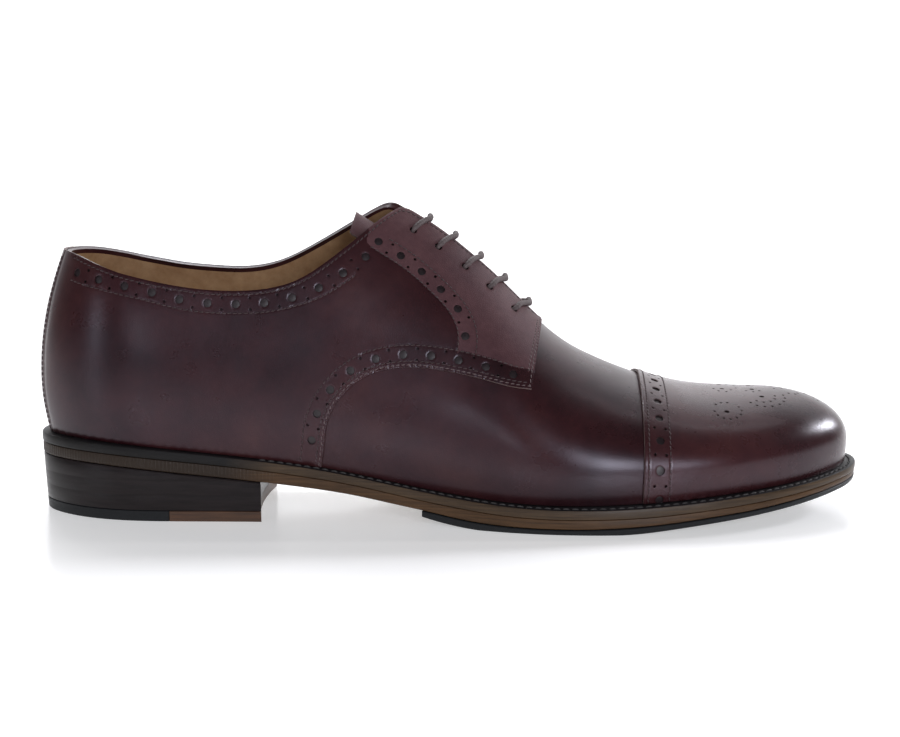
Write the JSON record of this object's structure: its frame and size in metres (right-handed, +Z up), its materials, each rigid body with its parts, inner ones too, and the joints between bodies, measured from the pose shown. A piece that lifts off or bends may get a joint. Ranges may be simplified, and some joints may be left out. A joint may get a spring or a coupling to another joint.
{
  "type": "derby shoe",
  "caption": "Right cap toe derby shoe, standing empty: hollow leather upper with punched quarters, open laced throat, welted leather sole and stacked heel.",
  "frame": {"origin": "middle of the heel's flat bottom, on the floor", "axes": "+X along the shoe towards the toe, +Y towards the inner side of the foot, +Z up"},
  "size_m": [0.3107, 0.1077, 0.1147],
  "materials": {
    "burgundy_calf": "polished burgundy brown calf",
    "tan_lining": "matte tan lining leather",
    "welt_leather": "black welt with a brown edge, waxed",
    "sole_leather": "tan brown sole leather, burnished edge",
    "blue_black_rubber": "blue black rubber, matte",
    "black_heel_leather": "black burnished stacked leather",
    "lace_cotton": "waxed round cotton lace, grey mauve brown"
  },
  "bodies": {
    "root": {"upper": "burgundy_calf", "toe_cap": "burgundy_calf", "quarter_lateral": "burgundy_calf", "quarter_medial": "burgundy_calf", "back_strap": "burgundy_calf", "tongue": "burgundy_calf", "insole": "tan_lining", "welt": "welt_leather", "outsole": "sole_leather", "forepart_rubber": "blue_black_rubber", "heel_stack": "black_heel_leather", "top_lift_rubber": "blue_black_rubber", "top_lift_leather": "sole_leather", "lace_bar_1": "lace_cotton", "lace_bar_2": "lace_cotton", "lace_bar_3": "lace_cotton", "lace_bar_4": "lace_cotton", "lace_bar_5": "lace_cotton"}
  },
  "joints": []
}
